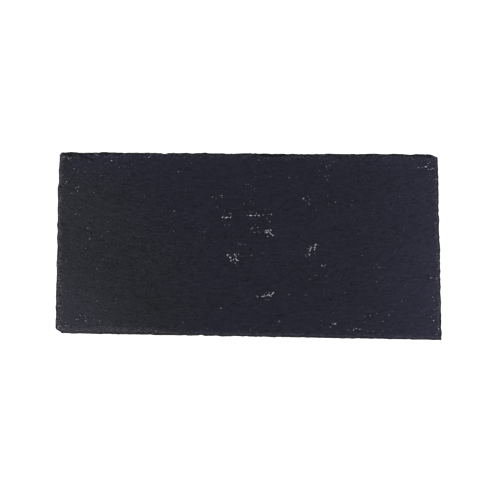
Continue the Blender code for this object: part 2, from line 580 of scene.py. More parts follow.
def feed(socket, value):
    """Links a socket to another node's output, or sets it to a plain value."""
    if isinstance(value, bpy.types.NodeSocket):
        slate.node_tree.links.new(value, socket)
    else:
        socket.default_value = value


def reckon(operation, *values):
    """A Math node on other outputs or plain numbers."""
    node = slate_nodes.new("ShaderNodeMath")
    node.operation = operation
    for socket, value in zip(node.inputs, values):
        feed(socket, value)
    return node.outputs["Value"]


def move(operation, *values):
    """A Vector Math node on other outputs or plain vectors."""
    node = slate_nodes.new("ShaderNodeVectorMath")
    node.operation = operation
    for socket, value in zip(node.inputs, values):
        feed(socket, value)
    return node.outputs["Value" if operation == "LENGTH" else "Vector"]


def ramp(value, low, high, at_low=0.0, at_high=1.0):
    """A smooth change from one number to another as a value goes from low to high."""
    node = slate_nodes.new("ShaderNodeMapRange")
    node.interpolation_type = "SMOOTHSTEP"
    for name, number in (("Value", value), ("From Min", low), ("From Max", high)):
        feed(node.inputs[name], number)
    feed(node.inputs["To Min"], at_low)
    feed(node.inputs["To Max"], at_high)
    return node.outputs["Result"]


def blended(amount, first, second):
    """One colour mixed into another. Sockets 6, 7 and 2 are the node's colour ones."""
    node = slate_nodes.new("ShaderNodeMix")
    node.data_type = "RGBA"
    feed(node.inputs["Factor"], amount)
    feed(node.inputs[6], first)
    feed(node.inputs[7], second)
    return node.outputs[2]


def scaled(vector, size, place, turn=0.0):
    """Coordinates measured from a place, turned, and in units of a size."""
    node = slate_nodes.new("ShaderNodeMapping")
    node.vector_type = "TEXTURE"
    feed(node.inputs["Vector"], vector)
    feed(node.inputs["Location"], place)
    feed(node.inputs["Rotation"], (0.0, 0.0, math.radians(turn)))
    feed(node.inputs["Scale"], size)
    return node.outputs["Vector"]


def patches(vector, size, seed, detail=2.0):
    """Cloudy variation around 0.5, in patches of about this size. Each seed reads the noise
    somewhere else."""
    node = slate_nodes.new("ShaderNodeTexNoise")
    feed(node.inputs["Vector"], scaled(vector, size, (seed * 317.0, seed * 211.0, 0.0)))
    feed(node.inputs["Scale"], 1.0)
    feed(node.inputs["Detail"], detail)
    return node.outputs["Fac"]


def worn_or_shaded_value(name):
    """One of the values kept on the mesh."""
    node = slate_nodes.new("ShaderNodeAttribute")
    node.attribute_name = name
    return node.outputs["Fac"]


object_place = slate_nodes.new("ShaderNodeTexCoord").outputs["Object"]
stone_place = move("SCALE", object_place)
stone_place.node.inputs["Scale"].default_value = MILLIMETRES
split_place = slate_nodes.new("ShaderNodeSeparateXYZ")
feed(split_place.inputs["Vector"], stone_place)
along, across, up = split_place.outputs

# The grain: coordinates that sag with the bedding and wander a little.
WANDER_SIZE = (45.0, 16.0, 20.0)
WANDER_HEIGHT = 9.0
wander = patches(stone_place, WANDER_SIZE, 1)
sag = reckon("MULTIPLY", reckon("MULTIPLY", along, along), GRAIN_SAG / MILLIMETRES)
lifted = reckon("MULTIPLY_ADD", wander, WANDER_HEIGHT, across)
join_place = slate_nodes.new("ShaderNodeCombineXYZ")
for socket, value in zip(join_place.inputs, (along, reckon("SUBTRACT", lifted, sag), up)):
    feed(socket, value)
grain_place = join_place.outputs["Vector"]

cloud = patches(grain_place, (60.0, 26.0, 12.0), 2)
band = patches(grain_place, (24.0, 3.4, 1.2), 3)
streak = patches(grain_place, (6.0, 1.5, 0.8), 4, 1.0)
fibre = patches(grain_place, (1.7, 0.8, 0.7), 5, 1.0)
speck = patches(stone_place, (0.9, 0.9, 0.9), 6, 0.0)
pit = patches(grain_place, (1.5, 0.9, 0.9), 7, 0.0)

# Tone: how much paler or darker the stone is than its plain colour. The face is rougher, with a
# stronger grain, more pits and more pale flecks, towards its ends, most of all the left. Each
# ramp here and below is where it starts and ends, then its value at the start and at the end.
PLAIN_TONE = 0.955
GRAIN_STRENGTHS = ((cloud, 0.25), (band, 0.48), (streak, 1.25), (fibre, 1.12), (speck, 0.30))
ROUGHER_LEFT = (-150.0, -30.0, 1.0, 0.0)
ROUGHER_RIGHT = (50.0, 150.0, 0.0, 0.4)
MIDDLE_GRAIN = 0.67
MORE_END_GRAIN = 0.18
DARK_PITS = (0.38, 0.24, 0.0, -0.75)
PALE_FLECKS = (0.64, 0.78, 0.0, 1.30)
MIDDLE_PITS = 0.50
MORE_END_PITS = 0.50
grain = 0.0
for pattern, strength in GRAIN_STRENGTHS:
    grain = reckon("MULTIPLY_ADD", reckon("SUBTRACT", pattern, 0.5), strength, grain)
rougher = reckon("MAXIMUM", ramp(along, *ROUGHER_LEFT), ramp(along, *ROUGHER_RIGHT))
grain_share = reckon("MULTIPLY_ADD", rougher, MORE_END_GRAIN, MIDDLE_GRAIN)
tone = reckon("MULTIPLY_ADD", grain, grain_share, PLAIN_TONE)
pitted = reckon("ADD", ramp(pit, *DARK_PITS), ramp(pit, *PALE_FLECKS))
pit_share = reckon("MULTIPLY_ADD", rougher, MORE_END_PITS, MIDDLE_PITS)
tone = reckon("MULTIPLY_ADD", pitted, pit_share, tone)

# Paler ends, partly handling wear and partly painted highlight, and stretches that are paler or
# darker still: centre, size, and how much.
ENDS_WEAR_AND_HIGHLIGHT = 0.52
PALER_CURVE = 3.2
HALF_FACE = 187.0
PALER_STRETCHES = (
    ((-205.0, -98.0, 0.0), (120.0, 95.0, 1000.0), 0.66),
    ((205.0, -60.0, 0.0), (100.0, 110.0, 1000.0), 0.15),
    ((-200.0, 98.0, 0.0), (45.0, 60.0, 1000.0), -0.35),
)
from_middle = reckon("DIVIDE", reckon("ABSOLUTE", along), HALF_FACE)
tone = reckon("MULTIPLY_ADD", reckon("POWER", from_middle, PALER_CURVE), ENDS_WEAR_AND_HIGHLIGHT, tone)
for centre, size, paler in PALER_STRETCHES:
    from_centre = move("LENGTH", scaled(stone_place, size, centre))
    tone = reckon("ADD", tone, ramp(from_centre, 0.0, 1.0, paler, 0.0))
tone = reckon("ADD", tone, worn_or_shaded_value("handled"))
# Painted shade darkens the scars near the outline.
tone = reckon("MULTIPLY", tone, reckon("SUBTRACT", 1.0, worn_or_shaded_value("foot_shade")))

# Drift: grey stone at the left end, indigo in the middle and on the right, with a border that
# leans, curves and wanders with the clouds of the grain.
BORDER = (-115.0, -35.0)
BORDER_LEAN = 0.55
BORDER_CURVE = 0.0054
BORDER_WANDER = 110.0
curve = reckon("MULTIPLY_ADD", across, BORDER_CURVE, BORDER_LEAN)
drift = reckon("MULTIPLY_ADD", across, curve, along)
drift = reckon("MULTIPLY_ADD", reckon("SUBTRACT", cloud, 0.5), BORDER_WANDER, drift)
stone_colour = blended(ramp(drift, *BORDER), GREY_STONE, INDIGO_STONE)

# The chipped band along the sides is uneven, grain by grain: most of all at the ends, less along
# the back and least along the front.
CRUMB_SIZE = (1.4, 1.4, 1.4)
UNEVEN_LEFT = (-197.0, -187.0, 2.2, 0.0)
UNEVEN_RIGHT = (187.0, 197.0, 0.0, 1.5)
UNEVEN_FRONT = (-92.0, -84.0, 0.75, 1.0)
EVEN_BACK = (86.0, 92.0, 0.0, 0.05)
CRUMB_SWING = (0.36, 0.64, -0.45, 0.45)
DARKEST_TONE = 0.10
chipped = worn_or_shaded_value("chipped")
crumb = patches(stone_place, CRUMB_SIZE, 8, 1.0)
ends = reckon("ADD", ramp(along, *UNEVEN_LEFT), ramp(along, *UNEVEN_RIGHT))
sides = reckon("SUBTRACT", ramp(across, *UNEVEN_FRONT), ramp(across, *EVEN_BACK))
unevenness = reckon("MAXIMUM", ends, sides)
swing = reckon("MULTIPLY", unevenness, ramp(crumb, *CRUMB_SWING))
toned_colour = move("SCALE", stone_colour)
broken_tone = reckon("MULTIPLY_ADD", chipped, swing, tone)
feed(toned_colour.node.inputs["Scale"], reckon("MAXIMUM", broken_tone, DARKEST_TONE))

# The scars: broken grains, dark where they have dropped out and pale where they are crushed, over
# stone that the blows have bruised.
CRUSHED_SHARE = 0.95
CRUSHED_SWING = 1.40
BRUISED_BORDER = (-180.0, -60.0)
crushed_share = reckon("MULTIPLY_ADD", swing, CRUSHED_SWING, CRUSHED_SHARE)
crushed = reckon("MAXIMUM", reckon("MULTIPLY", worn_or_shaded_value("bruise"), crushed_share), 0.0)
bruised_colour = blended(ramp(along, *BRUISED_BORDER), BRUISED_GREY_STONE, BRUISED_INDIGO_STONE)
rim_colour = blended(crushed, toned_colour, bruised_colour)

# ------------------------------------------------------------
# Scuffs, where something hard was dragged or dropped on the stone and left it powdered. Each is a
# short stroke: place along X and Y, half length, half width and turn from the X axis. They are
# grouped by how white they are and where they lie, and fine noise crumbles them. No group has
# more than 28 strokes, because the renderer runs out of room on a longer one.
POWDERED_STONE = (0.765, 0.775, 0.900, 1.0)
SCUFFS = (
    # White marks, nearly all in the middle of the slab.
    (1.00, (
        (-144.3, 89.4, 1.2, 0.6, 0), (-27.2, 28.9, 0.9, 0.7, 0), (-23, 28.9, 1.6, 0.8, 5),
        (-21.3, -10.1, 1.4, 0.9, 10), (-18.9, -13.2, 1.9, 0.7, 0), (-17.9, -16.4, 1.4, 0.8, 0),
        (-12.6, -15.6, 1.4, 0.8, -60), (-11.2, -16.4, 1.3, 0.6, -8), (2.3, 30.9, 2.2, 0.8, 0),
        (6.5, 30.9, 1.1, 0.9, -20), (10.9, 30.9, 1.7, 0.8, 0), (14.8, -53.9, 2.1, 0.8, 0),
        (18, 15, 1.1, 0.9, 20), (19.1, 13, 1.4, 1, 30), (20.9, -52, 1, 0.8, 45), (21, 14.1, 1.2, 0.7, -40),
        (23.2, 12, 3.2, 0.5, -42), (25.6, 9.9, 1.2, 0.9, 20), (25.7, -50.3, 1.7, 1.1, 45),
        (57.6, 49, 1.1, 1, 0), (64.5, -5.8, 1, 0.8, 20), (64.6, -4.2, 1, 0.8, 90),
        (65.7, -2.9, 0.9, 0.8, 45), (70.1, 0.3, 1.3, 0.8, 0), (77, -21.7, 1.2, 0.7, 0),
        (90, -82, 1.3, 0.8, 15), (186.8, 82.9, 1.5, 0.8, 0), (191.6, -78.9, 0.9, 0.9, 0),
    )),
    # Pale marks in the middle and to the right of it.
    (0.60, (
        (-24.2, 28, 0.8, 0.7, 0), (-21.9, -11.1, 0.7, 0.6, 90), (-18.7, 28.8, 1, 0.7, 75),
        (-15.6, -15.6, 0.9, 0.8, 0), (-14.6, -10.2, 1.3, 0.9, -30), (-13.7, -14.3, 1.1, 0.6, -60),
        (-13, -11.8, 1.3, 0.8, -60), (9.5, -54, 1.4, 0.8, 0), (17.2, 13.2, 0.9, 0.8, 0),
        (19.7, -52.8, 1.1, 0.7, 0), (20.1, 8.7, 1.2, 0.9, 0), (20.6, 15.3, 0.9, 0.8, 45),
        (22, -52.8, 1.4, 0.9, -30), (23.2, 15.4, 1.3, 1.1, -20), (24.3, -51.8, 1.3, 0.8, 55),
        (63.7, -10.4, 1.2, 1, 90), (68.8, -5, 1.3, 0.8, 80), (69.4, -2.8, 1.8, 0.9, 0),
        (69.9, -1, 0.9, 0.7, 90), (88.8, -82.8, 1, 0.8, 45), (108.8, -88.4, 1.3, 0.8, 90),
        (111.4, -87, 1.3, 0.9, 0), (115, -87.6, 1.3, 0.8, 80), (179.1, 81.9, 0.8, 0.7, 20),
        (189.4, 80.3, 0.9, 0.6, 60), (192, 79.9, 1.3, 0.6, 15), (193.7, 80.8, 0.8, 0.7, 50),
        (196.8, -87.5, 0.7, 1.2, 0),
    )),
    # Pale marks at the left end.
    (0.48, (
        (-191.2, 67, 0.9, 0.8, 0), (-189, -84, 1.2, 0.7, 0), (-188.4, -80.9, 0.8, 0.7, 0),
        (-181.4, 60.4, 1, 0.8, 20), (-179.6, 57, 0.9, 0.9, -40), (-178.6, 61.2, 0.7, 1, 15),
        (-178, -77.7, 0.9, 0.7, 0), (-174.2, -73.1, 1.3, 0.6, -55), (-168.4, -79.3, 1.6, 0.9, -25),
        (-162.1, 55.2, 1, 0.6, 0), (-160, 95.8, 1.5, 0.5, 0), (-154, -79.6, 0.7, 0.9, 0),
        (-105, 93, 1.3, 0.9, 0), (-28.5, -66, 1.3, 1, 0), (-190, 91.7, 0.8, 1.3, 0),
        (-187.2, 91.9, 0.9, 1.2, 20),
    )),
    # Grey marks left of the middle.
    (0.27, (
        (-77.5, 35.5, 1.4, 1.2, 0), (-37.7, 50.3, 0.8, 1, 0), (-28, 52, 1.4, 0.8, 0),
        (-27.5, 50, 0.7, 0.5, 0), (-25.9, 30.3, 0.7, 0.6, 0), (-20.8, 29, 1.1, 0.8, 0),
        (-19, 33, 1.6, 0.7, 0), (-18, 30.4, 1, 0.7, 30), (-14, -18.9, 1.8, 0.7, 0),
        (-12.4, -9, 0.8, 0.7, 0), (-10.2, -9.9, 1.3, 0.7, 0), (-3.5, 0.2, 1.4, 0.6, 0),
        (-0.9, 30.9, 1.5, 0.6, 0), (2.9, 16.6, 0.9, 0.7, -30), (4.2, 34.2, 1.1, 0.8, 0),
        (4.2, 17.8, 1.3, 0.9, 60), (6.3, 13, 1.5, 0.8, 0),
    )),
    # Grey marks right of the middle.
    (0.34, (
        (8.1, -52.9, 0.9, 0.7, 90), (8.3, 33, 1.4, 0.7, 80), (9.7, 18.4, 1.3, 0.7, 0),
        (15.5, 31.3, 1.1, 1, 0), (16.6, -51.9, 0.9, 0.7, 90), (17.6, -53.2, 1.8, 0.8, 0),
        (21.8, -49.6, 1.1, 0.7, 0), (22.2, 24.5, 1.5, 0.8, 0), (23.4, -53.6, 1.4, 0.9, 10),
        (24, 32.2, 0.8, 1.2, 0), (32, -79.5, 1.2, 0.9, 0), (43, 71, 1.2, 0.9, 0),
        (59.5, -10.6, 1.3, 0.8, 90), (62.5, 51, 1.4, 0.7, 0), (62.6, -9.2, 1, 0.7, 90),
        (63.2, -6.8, 0.9, 0.7, 45), (64, 48.3, 0.7, 0.5, 0), (80.2, -21, 1.2, 0.7, 90),
        (80.9, 72.3, 0.9, 1.1, 0), (84.8, -85.6, 1, 0.6, 50), (85.8, 84, 0.9, 0.5, -10),
        (86.9, -82, 0.9, 0.7, 90), (91.3, 45.2, 0.9, 1, 0),
    )),
    # Grey marks at the right end.
    (0.34, (
        (126.2, -73.8, 0.9, 0.8, 90), (129.2, -90, 1.2, 0.5, 0), (136.4, -23.6, 1.3, 0.7, -20),
        (139.7, -79.8, 1.2, 0.9, 0), (173.6, 90.5, 0.7, 0.6, 0), (183, 81.8, 1.7, 0.4, 10),
        (188.6, 90.3, 1, 0.8, 0), (189, 84, 1.4, 0.6, 20), (189, 86.2, 1.2, 0.6, 0),
        (189.5, -75, 0.7, 0.9, 10), (190, -34.5, 1.8, 1.2, 0), (190.6, 75.5, 0.7, 0.6, 0),
        (191.2, 87.3, 0.9, 0.6, -30), (191.2, -54.8, 1.6, 0.6, 20), (192.8, -58, 1, 0.7, 0),
        (195.8, 80.7, 0.7, 0.6, 0), (196.8, 69.3, 0.8, 0.8, 30),
    )),
    # Grey marks at the left end.
    (0.27, (
        (-192.5, 64.8, 0.7, 0.7, 0), (-193.8, 93.2, 1.3, 1.1, 0), (-188.6, 90.2, 0.8, 0.8, 0),
        (-186.3, -84, 0.7, 0.8, 0), (-185.8, 54.6, 1.2, 0.8, 0), (-183.8, 80.4, 0.7, 0.8, 0),
        (-176, -77.6, 0.7, 0.6, 0), (-168, 17.5, 1.3, 1, 0), (-166, 6, 1.1, 1.2, 0),
        (-157.5, -25.5, 1.1, 0.9, 40), (-155.5, 73.3, 1, 0.8, 0), (-73.5, 77.5, 0.9, 0.8, 0),
    )),
    # Faint marks left of the middle.
    (0.11, (
        (-60, 86.5, 1.1, 0.9, 0), (-34, 49, 1.2, 1, 0), (-32.5, 40, 1, 1.4, 0), (-30, 51.5, 1, 0.8, 0),
        (-25, 20.5, 1.1, 0.9, 0), (-20, 21, 1, 0.9, 0), (-12, -21.7, 1.4, 0.9, 0), (-10, 1, 1.6, 1.1, 20),
        (-7.5, 0.4, 2.4, 0.6, 0), (-4.5, 43.5, 1.2, 1.2, 80), (-2.5, 64, 1.4, 0.8, 0),
        (1.5, 35, 1.4, 0.8, 0), (2, 45.5, 1.2, 0.9, 0), (3, -11, 1.8, 0.9, 0), (5.5, 44, 1.2, 0.9, 0),
        (6, 59, 0.9, 0.7, 0), (7.3, 21, 0.9, 0.9, 0), (5, 28, 0.7, 0.5, 0),
    )),
    # Faint marks right of the middle.
    (0.14, (
        (10.4, 14.2, 0.9, 0.8, 0), (11.6, 13, 0.9, 0.7, -40), (15, -8.5, 1.1, 0.7, 0),
        (18, -57, 1.1, 0.9, 0), (18, 37, 1.3, 1, 0), (18.6, -49.7, 1, 0.8, 0), (19.5, -1, 1.2, 0.9, 0),
        (19.5, 27.5, 1.1, 0.9, 0), (20.9, -57.6, 0.9, 1.5, 0), (21.2, 32.3, 1.1, 1, 0),
        (23, 72, 0.9, 0.7, 0), (42, -51.5, 2, 0.7, 0), (59.5, -52.5, 1.1, 1, 0),
        (60.3, 46.8, 1.1, 0.6, -45), (60.6, -12.2, 0.9, 0.7, -60), (62, -4, 1.4, 0.9, 0),
        (63.3, 43.5, 2.7, 1.2, -50), (63.7, -36.2, 1.6, 0.8, 0), (64.3, -1.5, 1.3, 0.8, 90),
        (69, -9.3, 1, 0.9, 0), (70.4, -32.1, 2, 0.8, 0), (74.5, 78.5, 1.3, 0.6, 20),
        (79.3, -22.9, 1.1, 0.7, -30), (81, -32.8, 1.9, 0.8, -15), (82.2, 82.8, 1.4, 1.3, 30),
    )),
    # Faint marks at the right end.
    (0.13, (
        (83, 68.7, 1.5, 1, 20), (84.1, 73.4, 1, 0.9, 30), (84.5, 43.6, 0.8, 0.6, 0),
        (91.3, -81.2, 0.9, 0.7, 60), (100, -50.5, 1, 1.1, 0), (103, -88.3, 1.6, 1, 0),
        (108, 41.5, 1.1, 1, 0), (109, 47, 1.3, 0.8, 0), (116.4, -87.9, 1.1, 0.8, 0),
        (118.5, -11, 1.1, 1, 0), (120.2, -74.6, 1.3, 0.9, 0), (123.5, -89.7, 1.2, 0.9, 30),
        (132.7, -71.5, 1.3, 0.9, 0), (133, -38.5, 1, 1.1, 0), (130.5, -23.7, 1.1, 0.7, 0),
        (133.6, -21, 1.2, 0.7, 20), (136, -92.4, 1.3, 0.9, 30), (139, -90, 1.4, 0.8, 0),
        (145.5, -73, 1.7, 1, 90), (159, -59, 1.1, 1, 0), (179.2, 91.5, 1, 0.9, 0),
        (190.5, 73.3, 0.9, 0.9, 0), (192.7, -72.5, 0.9, 0.9, 0), (193, -67.5, 1.3, 0.9, -40),
        (194.5, -93, 2, 1, 10), (195.5, -35.5, 1.6, 2.2, 0), (195.8, -73.3, 0.7, 1, 0),
        (196.8, -76.7, 0.8, 0.8, 0),
    )),
    # Faint marks at the left end.
    (0.13, (
        (-190, -18, 1.2, 1, 0), (-187, -58.5, 1.2, 1, 0), (-186.2, 88.5, 1, 0.7, 0),
        (-184, 54.3, 1, 0.7, 0), (-183, 92.6, 0.7, 0.7, 0), (-181, 32.5, 1.3, 1.1, 20),
        (-180.8, 92.6, 0.7, 0.7, 0), (-179.5, 76.7, 1.7, 0.8, 0), (-172, 77.6, 1.2, 0.7, 0),
        (-171.8, -76.7, 0.7, 1, 0), (-169.5, -3.5, 1.2, 0.9, 30), (-169, -74.4, 1, 0.8, 0),
        (-168.8, -76.6, 1, 0.7, 0), (-167.8, -71.7, 0.8, 0.7, 0), (-164, 25, 1.2, 0.8, 0),
        (-157, -58.5, 1.1, 1.1, 0), (-153.5, 8.5, 1, 1.3, 0), (-153.3, -85, 0.8, 0.6, 0),
        (-147.5, -68, 1, 1, 0), (-137.5, -56.5, 1.2, 0.9, 0), (-123, 85, 1.2, 0.9, 0),
        (-95, -89.5, 1.8, 0.7, 10), (-78, 14.5, 1.1, 0.9, 0), (-70.5, 77.5, 0.7, 0.6, 0),
        (-67.5, -81, 1.2, 0.7, 0),
    )),
    # Tiny chips at the left end.
    (0.13, (
        (-191, 36, 0.8, 1.1, 0), (-189, -48, 0.9, 0.9, 0), (-187, 50.5, 0.9, 0.8, 0),
        (-187, 46, 0.7, 0.8, 0), (-185, 64, 0.9, 0.7, 20), (-179, -86, 0.8, 0.9, 0), (-176, -85, 1, 0.6, 0),
        (-177, 32, 0.7, 0.9, 0), (-179, 79, 0.9, 0.7, 0), (-175, 90, 0.8, 0.7, 0), (-168, 88, 0.9, 0.8, 0),
        (-161, 7, 0.8, 0.7, 0), (-157, -38, 0.8, 0.7, 0), (-152, -37, 0.7, 0.8, 0),
        (-151, -15, 0.8, 0.8, 0), (-147, 14, 0.7, 1, 0), (-147, 25, 0.7, 1.3, 0), (-147, 87, 1, 0.8, 0),
        (-141, 78, 0.8, 0.7, 0), (-136, 82, 0.8, 1, 0), (-138, -61, 0.8, 0.8, 0), (-112, -86, 0.9, 0.6, 0),
        (-107, -86, 1, 0.6, 0), (-109, 51, 1.2, 0.6, 0), (-110, -10, 1, 0.6, 0), (-160, -78, 0.7, 0.7, 0),
        (-171, 21, 0.8, 0.6, 0),
    )),
    # Tiny chips left of the middle.
    (0.09, (
        (-82, -56.5, 0.6, 1, 0), (-80, -87, 0.8, 0.6, 0), (-77, 32, 0.7, 0.8, 0), (-72, -85, 1, 0.7, 0),
        (-69, -84, 0.8, 0.6, 0), (-70, -20, 1.2, 1.1, 0), (-66, 57, 0.7, 0.6, 0), (-62, 90, 0.8, 0.6, 0),
        (-51, 14, 0.7, 0.8, 0), (-51, -5, 1, 0.6, 0), (-46, 14, 1.1, 1.4, 0), (-46, 7, 1, 0.6, 0),
        (-44, 16.5, 0.6, 0.9, 0), (-43, -87, 0.9, 0.7, 0), (-36, 74, 1.1, 0.6, 0), (-35, 90, 0.8, 0.6, 0),
        (-35, 54, 0.7, 0.7, 0), (-32, -66, 0.7, 0.7, 0), (-27, 25, 0.8, 0.7, 0), (-25, 36, 1.2, 1.2, 0),
        (-20, -6, 0.8, 1, 0), (-17, 69, 0.9, 0.7, 0), (-9, -45, 0.8, 0.7, 0), (-7, -12, 1, 0.6, 0),
        (-6, 14, 0.8, 0.6, 0), (-2, -87, 1, 0.6, 0),
    )),
    # Tiny chips right of the middle.
    (0.09, (
        (0, 64, 1.2, 1.1, 0), (2, -88, 1.4, 1.1, 0), (3, 62, 0.8, 0.7, 0), (7, 77, 0.8, 0.8, 0),
        (8, 72, 0.9, 0.8, 0), (11, 90, 1.9, 1.4, 0), (18, 32, 0.8, 0.7, 0), (29, 10, 0.8, 0.7, 0),
        (47, -10, 1.1, 0.6, 0), (49, -17, 0.8, 0.8, 0), (57, -35, 0.8, 0.7, 0), (57, 65, 0.8, 0.7, 0),
        (58, 54, 0.8, 0.7, 0), (59, 28, 1.1, 0.6, 0), (64, -22.5, 0.7, 1.1, 0), (64, -13, 0.8, 0.8, 0),
        (73, 0, 0.8, 0.7, 0), (75.6, -83.7, 0.8, 1.7, 0), (76, -79, 0.8, 0.7, 0), (76, 86, 0.8, 0.7, 0),
        (83, 80, 0.8, 0.9, 0), (88, -71, 0.9, 0.7, 0), (90, -85, 0.8, 0.7, 0), (90, 88, 1.5, 1.2, 0),
        (94, 90, 1.3, 1.1, 0), (71, 37, 1, 0.6, 0),
    )),
    # Tiny chips at the right end.
    (0.09, (
        (83, 51.5, 0.7, 1, 0), (96, 26.5, 0.6, 0.9, 0), (115, 12, 0.8, 0.7, 0), (120, -80, 1.1, 1, 0),
        (124, -49, 0.8, 0.7, 0), (125, 5, 0.8, 0.8, 0), (135, -80, 0.8, 0.7, 0), (148, 82, 0.8, 0.8, 0),
        (149, -69, 0.8, 0.7, 0), (151, -62, 0.8, 0.7, 0), (151, 20, 1, 0.6, 0), (159, 51, 1.3, 1, 0),
        (159, 90, 0.9, 0.8, 0), (163, -43, 0.8, 0.7, 0), (169, -31, 1, 0.6, 0), (174, -36, 1, 0.7, 0),
        (189, 31, 0.9, 0.7, 0), (150, 38, 0.8, 0.7, 0), (157, 63, 0.8, 0.6, 0), (186, 74, 0.7, 0.7, 0),
        (178, 85, 0.8, 0.6, 0), (181, 85, 0.7, 0.6, 0), (140, -34, 0.9, 0.6, 0), (120, -94.3, 1.4, 0.8, 0),
        (189, -31, 0.9, 0.7, 0),
    )),
)
SCUFF_DEPTH = 4.0
SHAKE = 1.2
SHAKE_ON_POWDER = 0.5
FAR_OFF = 9.0
SCUFF_OUTLINE = (0.30, 1.05)
DENT_SHADE_OUTLINE = (1.20, 2.20)
DENT_SHADE_SHARE = 1.5
DENT_SHADE_DARKNESS = 0.60
POWDER_GRAIN = (0.40, 0.58, 0.35, 1.50)

# The pale flecks of the chipped band, which are powder too.
CHIPPED_FLECKS = 0.15
HANDLED_FLECKS = (0.15, 0.24, 0.0, 0.55)
FLECK_POWDER = (0.60, 0.74, 0.0, 0.22)

scuff_noise = slate_nodes.new("ShaderNodeTexNoise")
feed(scuff_noise.inputs["Vector"], stone_place)
feed(scuff_noise.inputs["Scale"], 1.0)
feed(scuff_noise.inputs["Detail"], 1.0)
shake = move("SUBTRACT", scuff_noise.outputs["Color"], (0.5, 0.5, 0.5))


def shaken_place(amount):
    """Stone coordinates moved about by fine noise, so that a stroke's outline is broken."""
    pushed = move("SCALE", shake)
    feed(pushed.node.inputs["Scale"], amount)
    return move("ADD", stone_place, pushed)


def nearest_stroke(place, strokes):
    """Distance from the middle of the nearest stroke, which is 1 at its outline."""
    nearest = FAR_OFF
    for x, y, half_length, half_width, turn in strokes:
        size = (half_length, half_width, SCUFF_DEPTH)
        stroke = move("LENGTH", scaled(place, size, (x, y, THICKNESS * MILLIMETRES), turn))
        nearest = reckon("MINIMUM", nearest, stroke)
    return nearest


# Each group is laid over the powder of the ones before it, which breaks its outlines up more.
# The stone round each mark is darkened by a ring of painted shade, stronger round the whiter marks.
fleck = reckon("MULTIPLY_ADD", chipped, CHIPPED_FLECKS, worn_or_shaded_value("bruise"))
fleck = reckon("ADD", fleck, ramp(worn_or_shaded_value("handled"), *HANDLED_FLECKS))
powder = reckon("MULTIPLY", reckon("MULTIPLY", fleck, unevenness), ramp(crumb, *FLECK_POWDER))
dent_shade = 0.0
for whiteness, strokes in SCUFFS:
    laid_over = shaken_place(reckon("MULTIPLY_ADD", powder, SHAKE_ON_POWDER, SHAKE))
    from_stroke = nearest_stroke(laid_over, strokes)
    powder = reckon("MAXIMUM", powder, ramp(from_stroke, *SCUFF_OUTLINE, whiteness, 0.0))
    shade_strength = min(1.0, DENT_SHADE_SHARE * whiteness)
    dent_shade = reckon("MAXIMUM", dent_shade, ramp(from_stroke, *DENT_SHADE_OUTLINE, shade_strength, 0.0))
powder = reckon("MULTIPLY", powder, ramp(speck, *POWDER_GRAIN))
shaded_round_marks_colour = move("SCALE", rim_colour)
feed(shaded_round_marks_colour.node.inputs["Scale"], reckon("MULTIPLY_ADD", dent_shade, -DENT_SHADE_DARKNESS, 1.0))
scuffed_colour = blended(powder, shaded_round_marks_colour, POWDERED_STONE)

# ------------------------------------------------------------
# Cleavage cracks and pits: hairlines where a thin layer of the bed ends or has begun to lift, and
# small hollows where a grain has dropped out. They are dark because they hold shadow and dust.
# Each is a stroke with the same five values as a scuff, and 28 strokes are again the most.
CRACKS = (
    (-188, 95.6, 9, 2.2, -2), (-173, 93.4, 8, 1.4, -16), (-166.5, 91.2, 5, 0.9, -22),
    (28, 94.6, 18, 1.7, 0), (-173.1, -72.6, 1.3, 0.9, -55), (107, -41.2, 1.7, 1.2, 0),
    (-164, 12, 1, 0.9, 0), (-138.5, -55.5, 1, 0.8, 0), (-182, 62, 0.8, 0.9, 0), (-165, 23, 0.9, 0.8, 0),
    (-101, -43, 1, 0.7, 0), (101.5, -47.5, 1, 0.8, 0), (103, -52, 1, 0.8, 0), (105, -48.8, 0.9, 0.8, 0),
    (85, -57, 1.6, 1.2, 0), (96, 15.6, 18, 0.3, 0), (151, 18.5, 5.5, 0.5, 15), (170, 30.5, 8, 0.5, 20),
    (144, -48.2, 8, 0.4, 0), (-23.7, 8, 1.8, 1.4, 60), (2.4, -4.4, 1.8, 1.1, 0), (-6.7, -9.2, 1.8, 1.3, 0),
    (-6.5, -19.7, 2.6, 0.8, 0), (-2.8, -37.5, 4, 0.6, 0), (39.8, 37.1, 3, 1.1, -10),
    (32.7, -73.1, 6, 0.6, 10), (-14.6, -61.3, 2, 1.2, 0), (52.4, 8.9, 2, 1.1, 0),
)
PITS = (
    (-187, -82, 0.8, 0.8, 0), (-183.5, -84, 1, 0.8, 0), (-178.5, -75, 1.2, 0.8, 0),
    (-175.3, -75, 0.8, 0.9, 0), (-171, -76.9, 0.8, 0.8, 0), (-164, 85, 0.9, 0.7, 0),
    (-152, 89, 1.2, 0.8, 0), (-151, -80, 0.9, 0.8, 0), (-138.5, 81, 0.8, 0.8, 0), (-118, -85, 0.9, 0.8, 0),
    (-77, 54.5, 0.7, 1, 0), (-72, -17, 0.8, 0.7, 0), (126, -77, 0.9, 0.8, 0), (125.5, -88, 1, 0.8, 0),
    (153, 64, 1.1, 0.7, 0), (168, 68, 0.9, 0.8, 0), (175, 90, 0.9, 0.8, 0), (181, 87.5, 0.7, 0.9, 0),
    (184.5, -74, 1.8, 0.6, 0), (186.3, 84.4, 1.1, 0.6, 0), (187, 80.8, 1.2, 0.6, 0),
    (187.5, -32.5, 0.8, 1.8, 30), (190.3, 82.2, 1, 0.7, 0), (193.3, 84, 0.9, 1.2, 0),
    (193, 78.3, 1.2, 0.7, 0), (191, -53.3, 0.9, 0.6, 0),
)
CRACK_DARKNESS = 0.80
PIT_DARKNESS = 0.60
CRACK_OUTLINE = (0.30, 1.20)
CRACK_SHAKE = 1.0
SHAKE_ON_CRACKS = 0.5
from_crack = nearest_stroke(shaken_place(CRACK_SHAKE), CRACKS)
